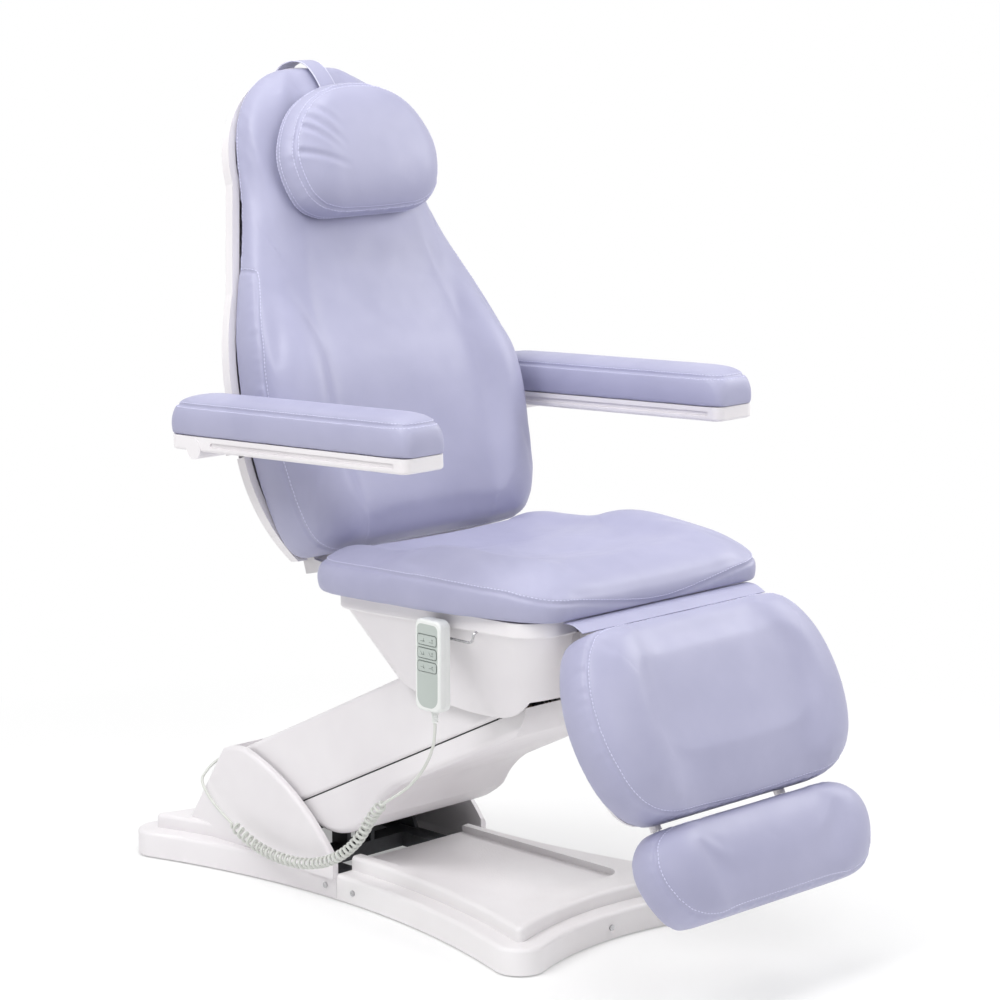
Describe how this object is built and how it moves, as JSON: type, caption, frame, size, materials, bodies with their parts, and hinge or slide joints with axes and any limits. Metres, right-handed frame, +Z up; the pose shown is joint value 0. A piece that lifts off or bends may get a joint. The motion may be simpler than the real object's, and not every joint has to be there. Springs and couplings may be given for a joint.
{
  "type": "electric facial bed",
  "caption": "Electric facial bed with a padded seat, reclining back, flip-up armrests, leg rest with sliding footrest, a parallel lift arm on a floor base and a corded hand control.",
  "frame": {"origin": "on the floor, at the middle of the whole bed seen from above", "axes": "+Z up, -Y the way the sitter faces, +X to the sitter's left"},
  "size_m": [0.7964, 1.2936, 1.3693],
  "materials": {
    "lilac_vinyl": "soft satin vinyl",
    "white_plastic": "fine satin",
    "grey_plastic": "satin",
    "dark_steel": "powder coat",
    "white_steel": "white powder coat",
    "bright_steel": "drawn",
    "foot_rubber": "matt",
    "board": "plywood",
    "webbing": "woven vinyl-coated tape",
    "cord_skin": "matt",
    "handset_shell": "satin",
    "key_face": "satin film"
  },
  "bodies": {
    "base": {"base_frame": "dark_steel", "pivot_stand": "dark_steel", "levelling_feet": "foot_rubber", "rear_base_cover": "white_plastic", "front_base_cover": "white_plastic", "base_cover_screws": "bright_steel", "base_pivot_pins": "bright_steel", "lift_actuator_pin": "bright_steel", "control_box": "grey_plastic", "mains_inlet": "grey_plastic", "cord_gland": "handset_shell", "cord_lower_lead": "cord_skin", "curly_cord": "cord_skin"},
    "lift_arm": {"lift_arm": "dark_steel", "arm_upper_cover": "white_plastic", "arm_lower_cover": "white_plastic", "lift_rod_pin": "bright_steel"},
    "lift_link": {"stabiliser_links": "dark_steel"},
    "lift_actuator": {"lift_actuator": "grey_plastic"},
    "lift_rod": {"lift_actuator_rod": "bright_steel"},
    "carriage": {"seat_frame": "white_steel", "seat_board": "board", "seat_cushion": "lilac_vinyl", "seat_housing": "white_plastic", "handset_hook": "bright_steel", "carriage_pivot_pins": "bright_steel", "back_hinge_pins": "bright_steel", "leg_hinge_pins": "bright_steel", "back_actuator": "grey_plastic", "leg_actuator": "grey_plastic", "cord_upper_lead": "cord_skin", "seat_flap": "lilac_vinyl"},
    "back_rod": {"back_actuator_rod": "bright_steel"},
    "leg_rod": {"leg_actuator_rod": "bright_steel"},
    "backrest": {"back_frame": "white_steel", "back_shell": "white_plastic", "back_cushion": "lilac_vinyl", "headrest_strap": "lilac_vinyl", "strap_slider": "white_plastic", "armrest_brackets": "white_steel"},
    "headrest": {"headrest_pillow": "lilac_vinyl"},
    "armrest_left": {"armrest_left_tray": "white_plastic", "armrest_left_pad": "lilac_vinyl", "armrest_left_pin": "bright_steel"},
    "armrest_right": {"armrest_right_tray": "white_plastic", "armrest_right_pad": "lilac_vinyl", "armrest_right_pin": "bright_steel"},
    "legrest": {"legrest_frame": "white_steel", "legrest_panel": "white_plastic", "legrest_cushion": "lilac_vinyl"},
    "footrest": {"footrest_panel": "white_plastic", "footrest_cushion": "lilac_vinyl", "footrest_rods": "bright_steel"},
    "handset": {"handset_rear_shell": "handset_shell", "handset_front_shell": "handset_shell", "handset_clip": "handset_shell"},
    "lift_key_body": {"lift_key": "key_face"},
    "back_key_body": {"back_key": "key_face"},
    "leg_key_body": {"leg_key": "key_face"}
  },
  "joints": [
    {"name": "lift", "type": "hinge", "parent": "base", "child": "lift_arm", "pos_m": [0, 0.4039, 0.158], "axis": [-1, 0, 0], "range_deg": [0, 28], "deforming": ["cord_lower_lead", "curly_cord", "cord_upper_lead"]},
    {"name": "link_swing", "type": "hinge", "parent": "base", "child": "lift_link", "pos_m": [0, 0.3776, 0.10407], "axis": [-1, 0, 0], "range_deg": [0, 28.1]},
    {"name": "carriage_level", "type": "hinge", "parent": "lift_arm", "child": "carriage", "pos_m": [0, -0.15605, 0.43111], "axis": [-1, 0, 0], "range_deg": [-28.1, 0], "deforming": ["cord_lower_lead", "curly_cord", "cord_upper_lead"]},
    {"name": "lift_actuator_swing", "type": "hinge", "parent": "base", "child": "lift_actuator", "pos_m": [0, 0.3319, 0.075], "axis": [-1, 0, 0], "range_deg": [0, 26.5]},
    {"name": "lift_rod_slide", "type": "slide", "parent": "lift_actuator", "child": "lift_rod", "axis": [0, -0.7688, 0.6394], "range_m": [0, 0.0525]},
    {"name": "recline", "type": "hinge", "parent": "carriage", "child": "backrest", "pos_m": [0, 0.1739, 0.564], "axis": [-1, 0, 0], "range_deg": [0, 72.6]},
    {"name": "back_rod_slide", "type": "slide", "parent": "carriage", "child": "back_rod", "axis": [0, -1, 0], "range_m": [0, 0.074]},
    {"name": "leg_raise", "type": "hinge", "parent": "carriage", "child": "legrest", "pos_m": [0, -0.3821, 0.554], "axis": [-1, 0, 0], "range_deg": [0, 62], "deforming": ["seat_flap"]},
    {"name": "leg_rod_slide", "type": "slide", "parent": "carriage", "child": "leg_rod", "axis": [0, -1, 0], "range_m": [0, 0.0622]},
    {"name": "footrest_slide", "type": "slide", "parent": "legrest", "child": "footrest", "axis": [0, -0.4695, -0.8829], "range_m": [0, 0.11]},
    {"name": "headrest_slide", "type": "slide", "parent": "backrest", "child": "headrest", "axis": [0, 0.299, 0.9542], "range_m": [-0.06, 0.015], "deforming": ["headrest_strap"]},
    {"name": "armrest_left_flip", "type": "hinge", "parent": "backrest", "child": "armrest_left", "pos_m": [0.35, 0.2639, 0.778], "axis": [-1, 0, 0], "range_deg": [0, 95]},
    {"name": "armrest_right_flip", "type": "hinge", "parent": "backrest", "child": "armrest_right", "pos_m": [-0.35, 0.2639, 0.778], "axis": [-1, 0, 0], "range_deg": [0, 95]},
    {"name": "handset_swing", "type": "hinge", "parent": "carriage", "child": "handset", "pos_m": [-0.262, -0.1631, 0.522], "axis": [0, 1, 0], "range_deg": [0, 14], "deforming": ["cord_upper_lead"]},
    {"name": "lift_key_tilt", "type": "hinge", "parent": "handset", "child": "lift_key_body", "pos_m": [-0.288, -0.1631, 0.5205], "axis": [0, 0, 1], "range_deg": [-4, 4], "stiffness_Nm_per_rad": 0.06},
    {"name": "back_key_tilt", "type": "hinge", "parent": "handset", "child": "back_key_body", "pos_m": [-0.288, -0.1631, 0.4995], "axis": [0, 0, 1], "range_deg": [-4, 4], "stiffness_Nm_per_rad": 0.06},
    {"name": "leg_key_tilt", "type": "hinge", "parent": "handset", "child": "leg_key_body", "pos_m": [-0.288, -0.1631, 0.4785], "axis": [0, 0, 1], "range_deg": [-4, 4], "stiffness_Nm_per_rad": 0.06}
  ],
  "couplings": [
    {"joint": "link_swing", "follows": "lift", "ratio": 1},
    {"joint": "carriage_level", "follows": "lift", "ratio": -1},
    {"joint": "lift_actuator_swing", "follows": "lift", "ratio": 0.9418},
    {"joint": "lift_rod_slide", "follows": "lift", "m_per_rad": 0.1065},
    {"joint": "back_rod_slide", "follows": "recline", "m_per_rad": 0.0557},
    {"joint": "leg_rod_slide", "follows": "leg_raise", "m_per_rad": 0.0571}
  ]
}
